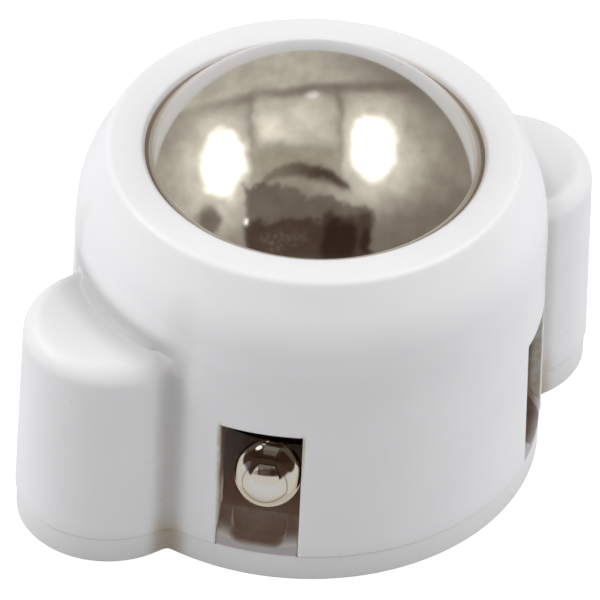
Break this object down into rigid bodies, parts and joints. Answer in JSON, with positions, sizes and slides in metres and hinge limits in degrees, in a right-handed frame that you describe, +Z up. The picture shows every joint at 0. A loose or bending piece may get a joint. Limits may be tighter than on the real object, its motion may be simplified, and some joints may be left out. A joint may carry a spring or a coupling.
{
  "type": "ball transfer unit",
  "caption": "Miniature ball transfer unit: a steel load ball on small support balls in a white moulded housing with two screw lugs and a base plate.",
  "frame": {"origin": "centre of the underside of the base plate", "axes": "+X runs through both screw lugs, +Z points up out of the load ball, -Y is the front"},
  "size_m": [0.0194, 0.0142, 0.0131],
  "materials": {
    "housing_plastic": "smooth gloss moulding",
    "plate_plastic": "satin moulding",
    "ball_steel": "polished",
    "support_steel": "polished"
  },
  "bodies": {
    "root": {"base_plate": "plate_plastic", "housing": "housing_plastic"},
    "main_ball": {"main_ball": "ball_steel"},
    "support_ball_back_right": {"support_ball_back_right": "support_steel"},
    "support_ball_back_left": {"support_ball_back_left": "support_steel"},
    "support_ball_front_left": {"support_ball_front_left": "support_steel"},
    "support_ball_front_right": {"support_ball_front_right": "support_steel"}
  },
  "joints": [
    {"name": "main_ball_roll", "type": "hinge", "parent": "root", "child": "main_ball", "pos_m": [0, 0, 0.0071], "axis": [0, 1, 0], "continuous": true},
    {"name": "support_ball_back_right_roll", "type": "hinge", "parent": "root", "child": "support_ball_back_right", "pos_m": [0.00385, 0.00385, 0.00268], "axis": [-0.3605, 0.8358, 0.414], "continuous": true},
    {"name": "support_ball_back_left_roll", "type": "hinge", "parent": "root", "child": "support_ball_back_left", "pos_m": [-0.00385, 0.00385, 0.00268], "axis": [0.3605, 0.8358, 0.414], "continuous": true},
    {"name": "support_ball_front_left_roll", "type": "hinge", "parent": "root", "child": "support_ball_front_left", "pos_m": [-0.00385, -0.00385, 0.00268], "axis": [-0.3605, 0.8358, -0.414], "continuous": true},
    {"name": "support_ball_front_right_roll", "type": "hinge", "parent": "root", "child": "support_ball_front_right", "pos_m": [0.00385, -0.00385, 0.00268], "axis": [0.3605, 0.8358, -0.414], "continuous": true}
  ],
  "couplings": [
    {"joint": "support_ball_back_right_roll", "follows": "main_ball_roll", "ratio": -5.0151},
    {"joint": "support_ball_back_left_roll", "follows": "main_ball_roll", "ratio": -5.0151},
    {"joint": "support_ball_front_left_roll", "follows": "main_ball_roll", "ratio": -5.0151},
    {"joint": "support_ball_front_right_roll", "follows": "main_ball_roll", "ratio": -5.0151}
  ]
}
